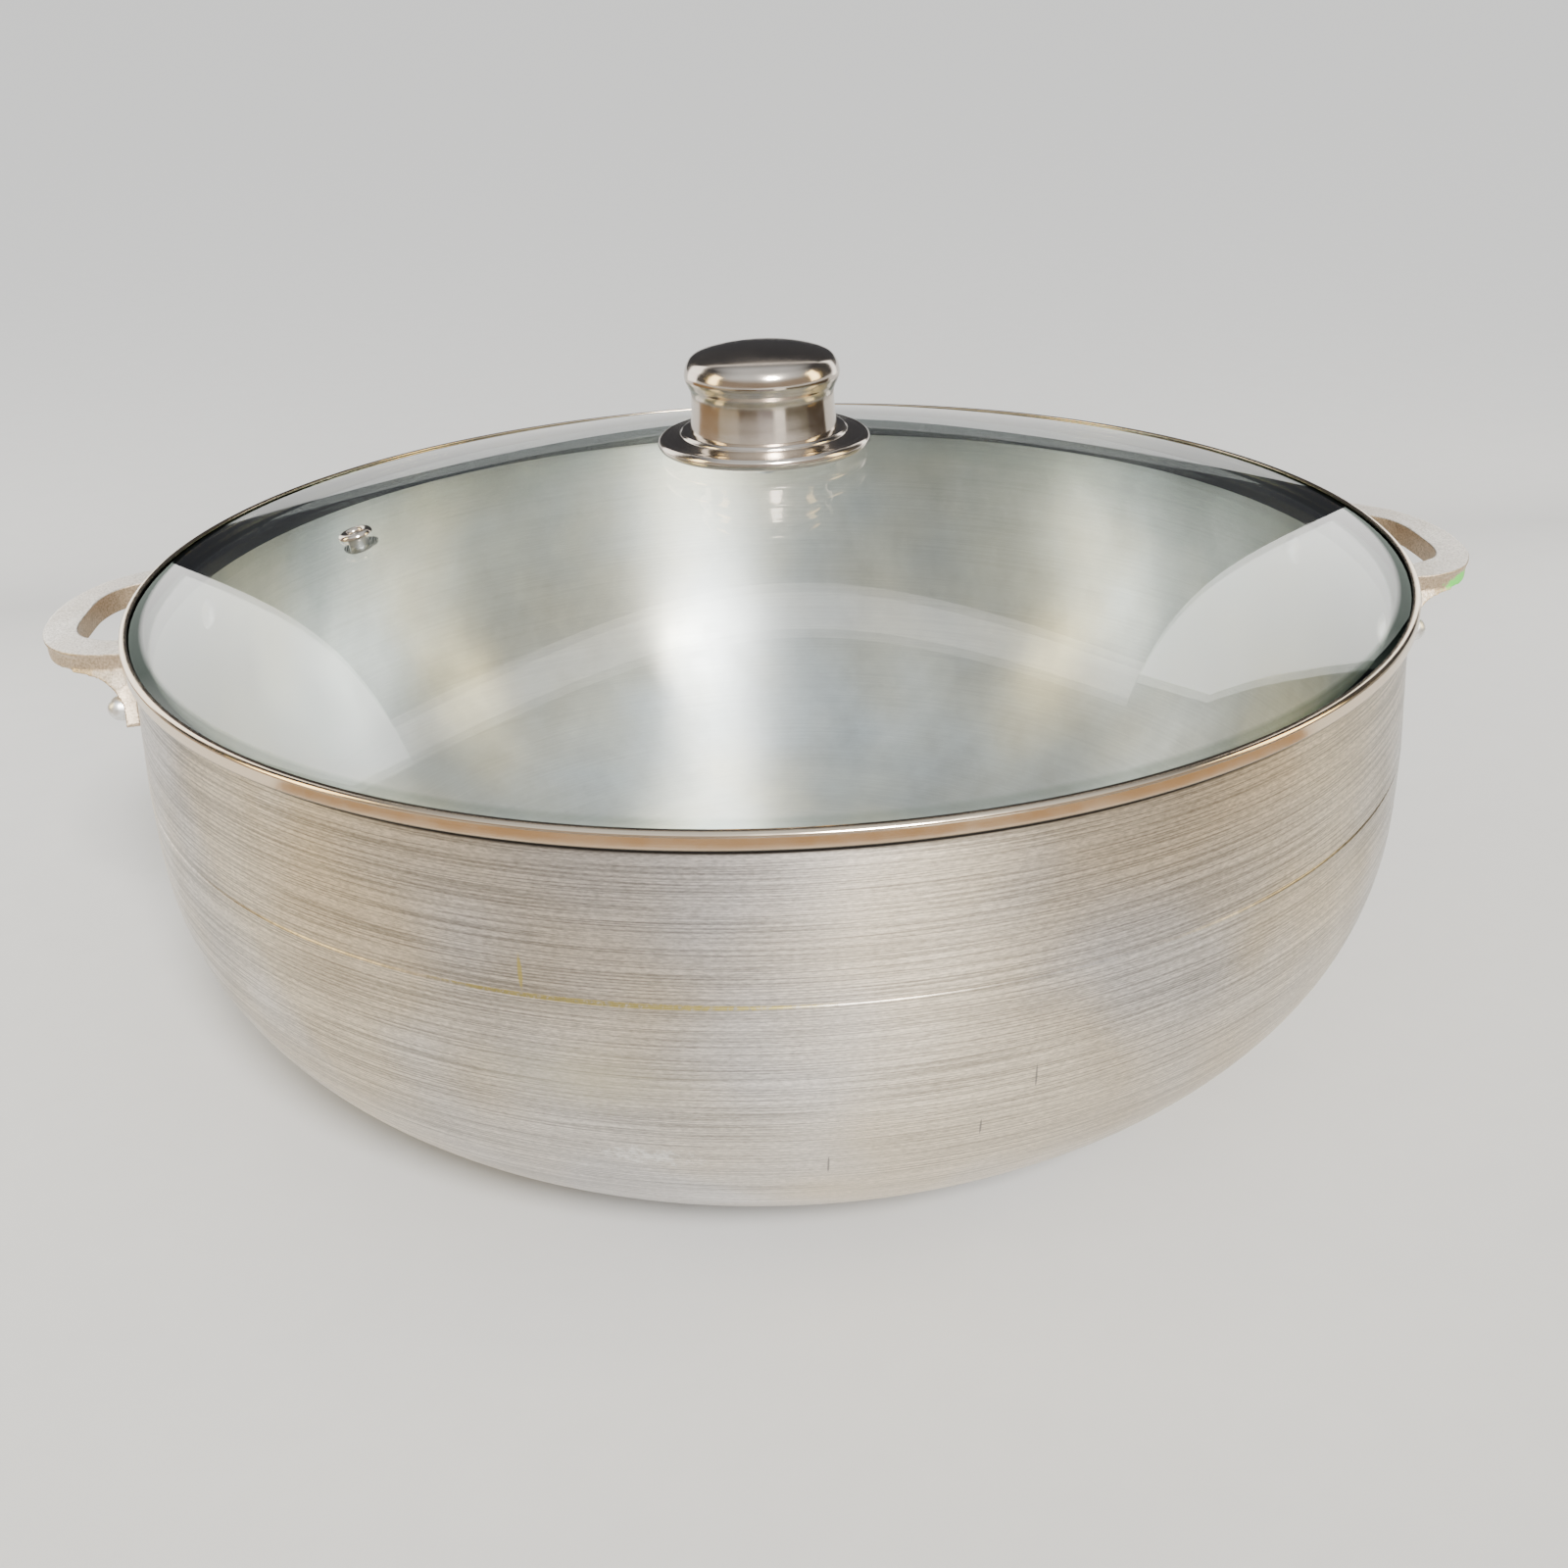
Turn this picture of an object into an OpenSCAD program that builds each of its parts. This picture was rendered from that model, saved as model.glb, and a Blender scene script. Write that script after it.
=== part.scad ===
// Wide two-handled aluminium casserole with a domed glass lid.
// The pot stands on z = 0, its axis is the Z axis, and the handles point along -X and +X.

/* [Pot] */
// Outer radius of the pot at its widest, just under the score line
wall_r = 199.4; // [199:0.1:200]
// Height of the pot's rim
rim_z = 143.3; // [138:0.1:160]
// Outer radius of the pot at its rim
rim_r = 197.2; // [196.4:0.1:198]
// Thickness of the cast wall
wall_t = 3.6; // [3:0.1:4]
// Thickness of the floor
floor_t = 4.5; // [3.5:0.1:7]
// Radius of the flat underside
base_r = 125; // [100:1:140]
// Height at which the rounded lower wall meets the upright wall
shoulder_z = 90; // [70:1:98]
// Height of the scored line around the outside
score_z = 103; // [100:1:110]

/* [Handles] */
// How far each handle's tip is from the pot's axis
handle_reach = 228.3; // [222:0.5:245]
// Half of the handle's width where it meets the pot
handle_half_w = 41.2; // [39:0.1:46]
// Width of the bar of the handle's loop at its tip
handle_bar = 11.3; // [9:0.1:14]
// Distance from the pot's rim down to the top of the handle, at the pot
handle_drop = 1.4; // [1:0.1:3]
// Fall of the handle towards its tip, in degrees
handle_fall = 2.2; // [0:0.1:4]
// Angle from the handle's middle to each of its rivets
rivet_angle = 12.1; // [11.5:0.1:13]
// Distance from the pot's rim down to the rivets
rivet_drop = 18.3; // [17:0.1:20]

/* [Lid] */
// Outer radius of the lid's steel band
lid_r = 200; // [199.8:0.1:201]
// Rise of the glass from its edge to its middle
dome_rise = 35.5; // [25:0.5:45]
// Radius over which the top of the dome is rounded off
dome_soft_r = 90; // [60:1:140]
// Thickness of the glass, measured upright
glass_t = 3.05; // [2.8:0.01:3.05]
// Distance of the steam vent from the lid's middle
vent_dist = 128; // [90:1:160]
// Direction of the steam vent, counter-clockwise from +X
vent_angle = 185.1; // [0:0.1:360]

/* [Knob] */
// Radius of the knob's cap at its widest
cap_r = 24.1; // [23:0.1:27]
// Height of the knob above its flange
knob_h = 25.6; // [22:0.1:30]
// Outer radius of the flange under the knob
flange_r = 33.2; // [31:0.1:36]

/* [Hidden] */

$fn = 96;
e = 0.01;                  // overlap that keeps unions and cuts clean
big = 1000;                // reach of the cutting blocks

aluminium_turned = [0.74, 0.74, 0.73];
aluminium_cast = [0.70, 0.69, 0.67];
rivet_grey = [0.80, 0.81, 0.82];
steel = [0.78, 0.77, 0.75];
glass_tint = [0.78, 0.88, 0.84, 0.35];
silicone = [0.80, 0.80, 0.78];
phenolic = [0.10, 0.10, 0.11];
brass = [0.78, 0.62, 0.32];

// Pot
rim_round = 0.8;           // rounding of both edges of the rim
score_depth = 0.5;
score_half_w = 0.5;
curve_steps = 28;          // segments in each rounded lower wall
curve_r_power = 1.37;      // these two set how square the lower curve is
curve_z_power = 0.845;
inner_base_r = base_r - 2.5;
wall_lean = atan((wall_r - rim_r) / (rim_z - score_z));   // the upright wall draws in upwards

// Handles
handle_top = rim_z - handle_drop;
handle_root = 190;         // the loop's outline is centred here, inside the pot's wall
handle_pivot = 200;        // the loop falls away from here
tip_power = 0.7;           // roundness of the loop's tip and of its sides
side_power = 0.945;
bar_side = 12.4;           // width of the bar beside the pot
bar_t = 5.9;               // depth of the bar at its outer edge
lip_t = 1.2;               // the top of the bar stands out as a thin lip
lip_out = 0.5;
loop_length = handle_reach - lip_out - handle_root;
rib_w = 2.6;               // rib round the inside of the loop
rib_t = 7.2;
pad_face = 202.2;          // distance of the rivet pads' outer face from the pot's axis
pad_half_w = 6.8;
pad_low = rivet_drop + 3.7;       // underside of the pads, below the rim
pad_fillet = 9.5;
leg_reach = 23.5;          // length of bar that a leg grows out of
seat_r = 4.2;              // flat seat for the rivet's head, cut into the fillet
seat_gap = 0.04;           // between a pad and the pot's wall
loop_steps = 72;

// Rivets
shank_r = 2.6;
shank_hole_r = 2.65;
snap_head_r = 3.8;         // tall round head outside
snap_head_base = 1.2;
inner_head_r = 5.4;        // low button head inside the pot
inner_head_h = 2;
rivet_z = rim_z - rivet_drop;

// Lid band, a rolled strip
strip_t = 0.55;
band_low = rim_z + 1;
band_top = rim_z + 5.7;
skirt_r = lid_r - 7.15;
skirt_low = rim_z - 6.1;
lip_r = lid_r - 2.5;
band_round = 1.3;

// Glass
glass_r = lid_r - 0.7;
glass_edge_z = band_top - strip_t - 0.05;   // top of the glass under the band's inner lip
apex_z = glass_edge_z + dome_rise;
dome_k = dome_rise / (sqrt(1 + pow(lip_r / dome_soft_r, 2)) - 1);
glass_hole_r = 5;
dome_steps = 40;

// Vent, in a frame whose Z axis is square to the glass
vent_hole_r = 3.2;
vent_bore_r = 2.4;
vent_tube_r = 3.1;
vent_bead_r = 1.45;
vent_curl_r = 1;
vent_washer_t = 0.8;
vent_washer_r = 5.5;
vent_slope = atan(dome_k * vent_dist / (pow(dome_soft_r, 2) * sqrt(1 + pow(vent_dist / dome_soft_r, 2))));
glass_square_t = glass_t * cos(vent_slope);

// Knob and what holds it
flange_top = apex_z + 5.7;
flange_t = 1;
neck_r = cap_r - 1.2;
waist_r = cap_r - 1.9;
shell_t = 0.8;
screw_r = 2.5;
screw_clear = 0.06;        // running clearance of the screw in the turning insert
screw_head_r = 4.8;
screw_head_h = 3;
under_z = apex_z - glass_t;
lower_gasket_t = 1.5;
washer_t = 1;
washer_low = under_z - lower_gasket_t - washer_t;
insert_r = 4.5;
insert_h = 14;

// Points of a curve through a list of points (Catmull-Rom), n segments a span.
function at(p, i) = p[min(max(i, 0), len(p) - 1)];
function blend(a, b, c, d, t) =
    0.5 * (2 * b + (c - a) * t + (2 * a - 5 * b + 4 * c - d) * t * t + (3 * b - a - 3 * c + d) * t * t * t);
function curve(p, n) = concat(
    [for (i = [0 : len(p) - 2], k = [0 : n - 1]) blend(at(p, i - 1), p[i], p[i + 1], at(p, i + 2), k / n)],
    [p[len(p) - 1]]
);

// Points of an arc about c, from angle a0 to a1.
function arc(c, r, a0, a1, n) = [for (k = [0 : n]) let (a = a0 + (a1 - a0) * k / n) c + r * [cos(a), sin(a)]];

// The rounded lower wall: from radius r0 at height z0 up to radius r1 at height z1.
function lower_wall(r0, r1, z0, z1) = [
    for (k = [0 : curve_steps]) let (a = 90 * k / curve_steps)
        [r0 + (r1 - r0) * pow(sin(a), curve_r_power), z0 + (z1 - z0) * (1 - pow(cos(a), curve_z_power))]
];

// Outer radius of the upright wall at height z.
function wall_at(z) = z < score_z ? wall_r : wall_r + (rim_r - wall_r) * (z - score_z) / (rim_z - score_z);

// Height of the top of the glass at radius r.
function dome_z(r) = apex_z - dome_k * (sqrt(1 + pow(r / dome_soft_r, 2)) - 1);
function dome_line(r0, r1, n) = [for (k = [0 : n]) let (r = r0 + (r1 - r0) * k / n) [r, dome_z(r)]];
function lowered(p, d) = [for (q = p) q - [0, d]];
function reversed(p) = [for (i = [len(p) - 1 : -1 : 0]) p[i]];

// Half of a rounded D, from the pot out to its tip and back.
function loop_outline(reach, half_w, tip_power, side_power) = [
    for (k = [0 : loop_steps]) let (a = -90 + 180 * k / loop_steps)
        [handle_root + (reach - handle_root) * pow(cos(a), tip_power),
         half_w * sign(a) * pow(abs(sin(a)), side_power)]
];

module revolve(points) {
    rotate_extrude($fn = 180) polygon(points);
}

// --- Pot ---

module pot_outside(grow = 0) {
    rotate_extrude($fn = 180) polygon(concat(
        [[0, 0]],
        [for (q = lower_wall(base_r, wall_r, 0, shoulder_z)) q + [grow, 0]],
        [[wall_r + grow, score_z], [rim_r + grow, rim_z], [0, rim_z]]
    ));
}

module pot_body() {
    color(aluminium_turned) difference() {
        revolve(concat(
            [[0, 0]],
            lower_wall(base_r, wall_r, 0, shoulder_z),
            [[wall_r, score_z - score_half_w], [wall_r - score_depth, score_z],
             [wall_at(score_z + score_half_w), score_z + score_half_w]],
            arc([rim_r - rim_round, rim_z - rim_round], rim_round, 0, 90, 6),
            arc([rim_r - wall_t + rim_round, rim_z - rim_round], rim_round, 90, 180, 6),
            [[wall_r - wall_t, score_z]],
            reversed(lower_wall(inner_base_r, wall_r - wall_t, floor_t, shoulder_z)),
            [[0, floor_t]]
        ));
        for (side = [0, 180]) rotate(side) rivet_places() rivet_hole();
    }
}

// --- Handles ---

// Puts its children at both rivets of one handle, X pointing out along the rivet.
module rivet_places() {
    for (s = [-1, 1]) rotate(s * rivet_angle)
        translate([wall_at(rivet_z), 0, rivet_z]) rotate([0, -wall_lean, 0]) children();
}

module rivet_hole() {
    rotate([0, 90, 0]) cylinder(h = 30, r = shank_hole_r, center = true, $fn = 48);
}

module loop_shape(grow = 0) {
    polygon(loop_outline(handle_reach + grow, handle_half_w + grow, tip_power, side_power));
}

module loop_opening(grow, height) {
    linear_extrude(height = height) polygon(loop_outline(
        handle_reach - handle_bar + grow, handle_half_w - bar_side + grow, 0.741, 0.604
    ));
}

// Tips its children down from the pot: z = 0 becomes the top of the loop.
module tipped() {
    translate([handle_pivot, 0, handle_top]) rotate([0, handle_fall, 0]) translate([-handle_pivot, 0, 0])
        children();
}

// The loop: a bar with a thin lip round its top and a deeper rib round its opening.
module handle_loop() {
    tipped() difference() {
        union() {
            translate([0, 0, -lip_t]) linear_extrude(height = lip_t) loop_shape();
            translate([0, 0, -bar_t]) linear_extrude(height = bar_t - e) loop_shape(-lip_out);
            translate([0, 0, -rib_t]) loop_opening(rib_w, rib_t - e);
        }
        translate([0, 0, -2 * rib_t]) loop_opening(0, 4 * rib_t);
    }
}

// What is cut away in front of a leg: a hollow fillet above a flat pad.
module leg_relief() {
    translate([pad_face, 0, rivet_z]) rotate([0, -wall_lean, 0]) rotate([90, 0, 0])
    linear_extrude(height = 60, center = true) {
        translate([pad_fillet, -e]) circle(pad_fillet);
        translate([0, -40]) square([60, 40]);
        translate([pad_fillet, -40]) square([60, 40 + pad_fillet]);
    }
}

// A leg grows out of the bar beside the pot and runs down and outwards to its rivet pad.
module handle_leg(s) {
    bar_side_line = [for (d = [1 : 7.5 : leg_reach]) [
        handle_root + d,
        s * (handle_half_w - lip_out) * pow(sin(acos(pow(d / loop_length, 1 / tip_power))), side_power)
    ]];
    difference() {
        hull() {
            rotate(s * rivet_angle) translate([handle_root, -pad_half_w, rim_z - pad_low])
                cube([24, 2 * pad_half_w, 1]);
            tipped() translate([0, 0, -bar_t]) linear_extrude(height = 1) polygon(concat(
                [for (d = [leg_reach, 1]) [handle_root + d, s * (handle_half_w - bar_side)]], bar_side_line
            ));
        }
        rotate(s * rivet_angle) leg_relief();
    }
}

module handle() {
    color(aluminium_cast) difference() {
        union() {
            handle_loop();
            for (s = [-1, 1]) handle_leg(s);
        }
        pot_outside(seat_gap);
        translate([0, 0, rim_z - big / 2]) cylinder(h = big, r = rim_r - 1, center = true);
        rivet_places() {
            rivet_hole();
            translate([pad_face - wall_at(rivet_z), 0, 0]) rotate([0, 90, 0])
                cylinder(h = 20, r = seat_r, $fn = 48);
        }
    }
}

module handle_left() { rotate(180) handle(); }
module handle_right() { handle(); }

// A rivet through pad and wall: round snap head outside, low button head inside.
module rivet() {
    pad_t = pad_face - wall_at(rivet_z) + 0.02;
    button_r = (inner_head_r * inner_head_r + inner_head_h * inner_head_h) / (2 * inner_head_h);
    rotate([0, 90, 0]) rotate_extrude($fn = 48) polygon(concat(
        [[0, -wall_t - 0.12 - inner_head_h]],
        arc([0, -wall_t - 0.12 - inner_head_h + button_r], button_r, -89, -90 + asin(inner_head_r / button_r), 10),
        [[shank_r, -wall_t - 0.12], [shank_r, pad_t], [snap_head_r, pad_t]],
        arc([0, pad_t + snap_head_base], snap_head_r, 0, 89, 12),
        [[0, pad_t + snap_head_base + snap_head_r]]
    ));
}

module handle_rivets_left() { color(rivet_grey) rotate(180) rivet_places() rivet(); }
module handle_rivets_right() { color(rivet_grey) rivet_places() rivet(); }

// --- Lid ---

module lid_glass() {
    color(glass_tint) difference() {
        revolve(concat(
            dome_line(glass_hole_r, glass_r - 0.5, dome_steps),
            [[glass_r, dome_z(glass_r) - 0.5], [glass_r, dome_z(glass_r) - glass_t + 0.5]],
            reversed(lowered(dome_line(glass_hole_r, glass_r - 0.5, dome_steps), glass_t))
        ));
        on_glass() cylinder(h = 20, r = vent_hole_r, center = true, $fn = 48);
    }
}

// One rolled strip: it wraps the edge of the glass, steps in to rest on the pot's rim,
// and turns down inside the pot.
module lid_rim_band() {
    hem = 0.5;
    color(steel) revolve(concat(
        [[skirt_r - strip_t, skirt_low], [skirt_r, skirt_low], [skirt_r, rim_z],
         [lid_r - 2.4, rim_z], [lid_r - 1.4, band_low], [lid_r - hem, band_low], [lid_r, band_low + hem]],
        arc([lid_r - band_round, band_top - band_round], band_round, 0, 90, 8),
        [[lip_r + 0.4, band_top], [lip_r, band_top - 0.25], [lip_r, band_top - strip_t]],
        arc([lid_r - band_round, band_top - band_round], band_round - strip_t, 90, 0, 8),
        [[lid_r - strip_t, band_low + strip_t], [lid_r - 1.4 - strip_t / 2, band_low + strip_t],
         [lid_r - 2.4 - strip_t / 2, rim_z + strip_t], [skirt_r - strip_t, rim_z + strip_t]]
    ));
}

// Puts its children at the vent, Z pointing square out of the glass.
module on_glass() {
    rotate(vent_angle) translate([vent_dist, 0, dome_z(vent_dist)]) rotate([0, vent_slope, 0]) children();
}

// A rolled eyelet: a round bead on top, a tube, and a smaller curl underneath.
module vent_eyelet() {
    low = -glass_square_t - vent_washer_t;
    color(steel) on_glass() rotate_extrude($fn = 60) polygon(concat(
        [[vent_bore_r, 0.15]],
        arc([vent_bore_r + vent_bead_r, 0.15], vent_bead_r, 180, 0, 20),
        [[vent_bore_r + 2 * vent_bead_r, 0.02], [vent_tube_r, 0.02], [vent_tube_r, low],
         [vent_bore_r + 2 * vent_curl_r, low]],
        arc([vent_bore_r + vent_curl_r, low], vent_curl_r, 0, -180, 14)
    ));
}

module vent_washer() {
    color(steel) on_glass() translate([0, 0, -glass_square_t - vent_washer_t]) difference() {
        cylinder(h = vent_washer_t - 0.04, r = vent_washer_r, $fn = 60);
        translate([0, 0, -1]) cylinder(h = 3, r = vent_hole_r, $fn = 60);
    }
}

// --- Knob ---

// Outline of the knob's steel cap, from the flange up to the middle of its top.
function cap_line(inset) = curve([
    [neck_r - inset, flange_top], [neck_r - 0.35 - inset, flange_top + 0.15 * knob_h],
    [waist_r - inset, flange_top + 0.36 * knob_h], [waist_r + 0.25 - inset, flange_top + 0.48 * knob_h],
    [cap_r - 0.75 - inset, flange_top + 0.56 * knob_h], [cap_r - inset, flange_top + 0.655 * knob_h],
    [cap_r - 0.9 - inset, flange_top + 0.79 * knob_h], [cap_r - 3.4 - inset, flange_top + 0.885 * knob_h - inset],
    [0.6 * cap_r, flange_top + 0.955 * knob_h - inset], [0.3 * cap_r, flange_top + 0.99 * knob_h - inset],
    [0, flange_top + knob_h - inset]
], 5);

module knob_cap() {
    color(steel) revolve(concat(cap_line(0), reversed(cap_line(shell_t))));
}

// The moulded core fills the cap and holds the threaded insert.
module knob_core() {
    color(phenolic) difference() {
        revolve(concat([[0, flange_top + e]], cap_line(shell_t + 0.05)));
        translate([0, 0, flange_top - 1]) cylinder(h = insert_h + 2, r = insert_r + 0.03, $fn = 60);
    }
}

module knob_insert() {
    color(brass) translate([0, 0, flange_top + 0.05]) difference() {
        cylinder(h = insert_h, r = insert_r, $fn = 60);
        translate([0, 0, -1]) cylinder(h = insert_h + 2, r = screw_r + screw_clear, $fn = 60);
    }
}

// A pressed disc: flat under the knob, a small step, a shallow slope and a rolled edge.
module knob_flange() {
    bead = 1.9;
    bead_mid = [flange_r - bead, flange_top - 3.9];
    step_r = neck_r + 2.6;
    color(steel) revolve(concat(
        [[screw_r + 0.3, flange_top], [step_r, flange_top], [step_r + 0.7, flange_top - 0.5],
         [step_r + 1, flange_top - 1.2]],
        arc(bead_mid, bead, 80, -80, 14),
        arc(bead_mid, bead - 0.8, -80, 80, 10),
        [[step_r, flange_top - 1.9], [step_r - 0.6, flange_top - flange_t], [screw_r + 0.3, flange_top - flange_t]]
    ));
}

// The soft pad between flange and glass follows the dome.
module knob_upper_gasket() {
    color(silicone) revolve(concat(
        [[screw_r + 0.3, flange_top - flange_t - 0.05], [neck_r, flange_top - flange_t - 0.05]],
        reversed(lowered(dome_line(screw_r + 0.3, neck_r, 10), -0.03))
    ));
}

module knob_lower_gasket() {
    color(silicone) revolve(concat(
        lowered(dome_line(screw_r + 0.3, 10, 6), glass_t + 0.03),
        [[10, under_z - lower_gasket_t], [screw_r + 0.3, under_z - lower_gasket_t]]
    ));
}

module knob_screw_washer() {
    color(steel) translate([0, 0, washer_low]) difference() {
        cylinder(h = washer_t - 0.02, r = 8, $fn = 60);
        translate([0, 0, -1]) cylinder(h = 3, r = screw_r + 0.2, $fn = 60);
    }
}

// Pan-head screw, driven from under the glass up into the insert.
module knob_screw() {
    slot_w = 1.2;
    tip = flange_top + insert_h - 1.5;
    head_low = washer_low - 0.02 - screw_head_h;
    color(steel) difference() {
        revolve([
            [0, head_low], [screw_head_r - 1.6, head_low], [screw_head_r - 0.4, head_low + 0.8],
            [screw_head_r, head_low + 1.8], [screw_head_r, washer_low - 0.02], [screw_r, washer_low - 0.02],
            [screw_r, tip - 0.6], [screw_r - 0.6, tip], [0, tip]
        ]);
        for (a = [0, 90]) rotate(a) translate([-2.4, -slot_w / 2, head_low - 1]) cube([4.8, slot_w, 2.6]);
    }
}

pot_body();
handle_left();
handle_right();
handle_rivets_left();
handle_rivets_right();
lid_glass();
lid_rim_band();
vent_eyelet();
vent_washer();
knob_cap();
knob_core();
knob_insert();
knob_flange();
knob_upper_gasket();
knob_lower_gasket();
knob_screw_washer();
knob_screw();
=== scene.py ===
# A wide two-handled aluminium casserole with a domed glass lid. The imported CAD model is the
# frame. The pieces that show get finer meshes in the same places, and every piece gets a material.

from math import atan2, cos, hypot, pi, radians, sin, sqrt

import bpy
from mathutils import Matrix, Vector, noise


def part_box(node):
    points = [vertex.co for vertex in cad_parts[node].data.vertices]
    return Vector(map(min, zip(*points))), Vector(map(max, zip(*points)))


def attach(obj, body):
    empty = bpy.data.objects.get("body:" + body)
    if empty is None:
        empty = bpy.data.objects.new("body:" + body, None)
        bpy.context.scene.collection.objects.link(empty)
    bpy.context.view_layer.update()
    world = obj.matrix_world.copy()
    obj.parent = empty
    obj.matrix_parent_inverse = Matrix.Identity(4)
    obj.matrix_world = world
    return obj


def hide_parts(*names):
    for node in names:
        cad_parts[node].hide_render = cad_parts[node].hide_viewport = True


MM = 0.001
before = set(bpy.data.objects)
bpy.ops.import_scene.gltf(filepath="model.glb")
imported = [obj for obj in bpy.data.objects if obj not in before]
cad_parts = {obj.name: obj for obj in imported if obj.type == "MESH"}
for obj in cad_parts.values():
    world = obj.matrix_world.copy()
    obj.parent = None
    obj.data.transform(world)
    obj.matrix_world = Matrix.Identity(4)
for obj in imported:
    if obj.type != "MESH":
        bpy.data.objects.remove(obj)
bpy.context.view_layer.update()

# --- Sizes, from the frame's boxes and the design's own section sizes ---

pot_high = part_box("pot_body")[1]
band_low, band_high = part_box("lid_rim_band")
glass_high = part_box("lid_glass")[1]
cap_low, cap_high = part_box("knob_cap")
flange_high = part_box("knob_flange")[1]
vent_low, vent_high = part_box("vent_eyelet")

WALL_R = pot_high.x                    # the pot's outside, at its widest
RIM_Z = pot_high.z
RIM_R = WALL_R - 2.2 * MM
WALL_T = 3.6 * MM
FLOOR_T = 4.5 * MM
BASE_R = 125 * MM
SHOULDER_Z = RIM_Z - 53.3 * MM         # where the rounded lower wall ends
SCORE_Z = RIM_Z - 40.3 * MM            # the scored line
RIM_ROUND = 0.8 * MM

LID_R = min(band_high.x, band_high.y)
LIP_R = LID_R - 2.5 * MM               # where the band's lip ends on the glass
BAND_TOP = band_high.z
SKIRT_LOW = band_low.z
SKIRT_R = LID_R - 7.15 * MM            # the part that drops inside the pot
STRIP_T = 0.55 * MM

GLASS_R = glass_high.x
GLASS_T = 3.05 * MM
GLASS_HOLE_R = 5 * MM                  # the hole for the knob's screw
DOME_SOFT_R = 90 * MM                  # smaller makes the dome more like a cone
DOME_RISE = 35.5 * MM
DOME_K = DOME_RISE / (sqrt(1 + (LIP_R / DOME_SOFT_R) ** 2) - 1)
APEX_Z = glass_high.z + DOME_K * (sqrt(1 + (GLASS_HOLE_R / DOME_SOFT_R) ** 2) - 1)

KNOB_BASE = cap_low.z
KNOB_TOP = cap_high.z
CAP_R = cap_high.x
FLANGE_R = flange_high.x

TURNS = 320                            # steps round the large turned pieces
SMALL_TURNS = 128

SMEAR_AT = 216.5 * MM, -33.0 * MM, 136.5 * MM  # green paint, on the right handle's tip


# --- Outlines, as (radius, height) points ---

def arc(radius_at, height_at, size, start, end, steps):
    """Points along an arc, angles in degrees."""
    angles = [radians(start + (end - start) * k / steps) for k in range(steps + 1)]
    return [(radius_at + size * cos(a), height_at + size * sin(a)) for a in angles]


def line(start, end, steps):
    """Points from start to end, both included."""
    return [(start[0] + (end[0] - start[0]) * k / steps, start[1] + (end[1] - start[1]) * k / steps)
            for k in range(steps + 1)]


def smooth(points, steps):
    """A Catmull-Rom curve through the points."""
    made = []
    last = len(points) - 1
    for i in range(last):
        a, b, c, d = (Vector(points[min(max(k, 0), last)]) for k in (i - 1, i, i + 1, i + 2))
        for k in range(steps):
            t = k / steps
            at = 0.5 * (2 * b + (c - a) * t + (2 * a - 5 * b + 4 * c - d) * t ** 2
                        + (3 * b - a - 3 * c + d) * t ** 3)
            made.append(tuple(at))
    return made + [tuple(points[-1])]


def lower_wall(r0, r1, z0, z1, steps):
    """The rounded lower wall of the pot, from its base to its upright wall."""
    angles = [pi / 2 * k / steps for k in range(steps + 1)]
    return [(r0 + (r1 - r0) * sin(a) ** 1.37, z0 + (z1 - z0) * (1 - max(cos(a), 0) ** 0.845))
            for a in angles]


def dome_z(r):
    """Height of the top of the glass at radius r."""
    return APEX_Z - DOME_K * (sqrt(1 + (r / DOME_SOFT_R) ** 2) - 1)


# --- Mesh making ---

def finished(name, mesh, body, slot, *nodes, sharp=35):
    """Makes the mesh a smooth-shaded piece that rides on body and stands for the CAD nodes."""
    mesh.validate()
    mesh.shade_smooth()
    mesh.set_sharp_from_angle(angle=radians(sharp))
    piece = bpy.data.objects.new(name, mesh)
    bpy.context.scene.collection.objects.link(piece)
    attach(piece, body)
    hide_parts(*nodes)


def lathe(name, outline, turns, inner_from=None):
    """Turns a closed outline round the Z axis. Faces from point inner_from on get material 1."""
    corners, rings = [], []
    for r, z in outline:
        count = 1 if r < 1e-7 else turns
        rings.append(range(len(corners), len(corners) + count))
        corners += [(r * cos(2 * pi * k / turns), r * sin(2 * pi * k / turns), z)
                    for k in range(count)]
    faces, inner = [], []
    for i, low in enumerate(rings):
        high = rings[(i + 1) % len(rings)]
        if len(low) == 1 and len(high) == 1:
            continue
        for k in range(turns):
            j = (k + 1) % turns
            if len(low) == 1:
                faces.append((low[0], high[j], high[k]))
            elif len(high) == 1:
                faces.append((low[k], low[j], high[0]))
            else:
                faces.append((low[k], low[j], high[j], high[k]))
            inner.append(int(inner_from is not None and i >= inner_from))
    mesh = bpy.data.meshes.new(name)
    mesh.from_pydata(corners, [], faces)
    mesh.polygons.foreach_set("material_index", inner)
    return mesh


def applied(piece):
    """The mesh that the piece's modifiers make."""
    shape = piece.evaluated_get(bpy.context.evaluated_depsgraph_get())
    return bpy.data.meshes.new_from_object(shape)


# --- Node helpers ---

def node(tree, kind, links=None, **settings):
    """Adds a shader node. links gives its inputs, each as a socket to join or as a value."""
    made = tree.nodes.new("ShaderNode" + kind)
    for key, value in settings.items():
        setattr(made, key, value)
    for key, value in (links or {}).items():
        if isinstance(value, bpy.types.NodeSocket):
            tree.links.new(value, made.inputs[key])
        else:
            made.inputs[key].default_value = value
    return made


def calc(tree, operation, *values):
    """One Math node's result."""
    return node(tree, "Math", dict(enumerate(values)), operation=operation).outputs[0]


def vector_calc(tree, operation, *values):
    """One Vector Math node."""
    return node(tree, "VectorMath", dict(enumerate(values)), operation=operation)


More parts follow.
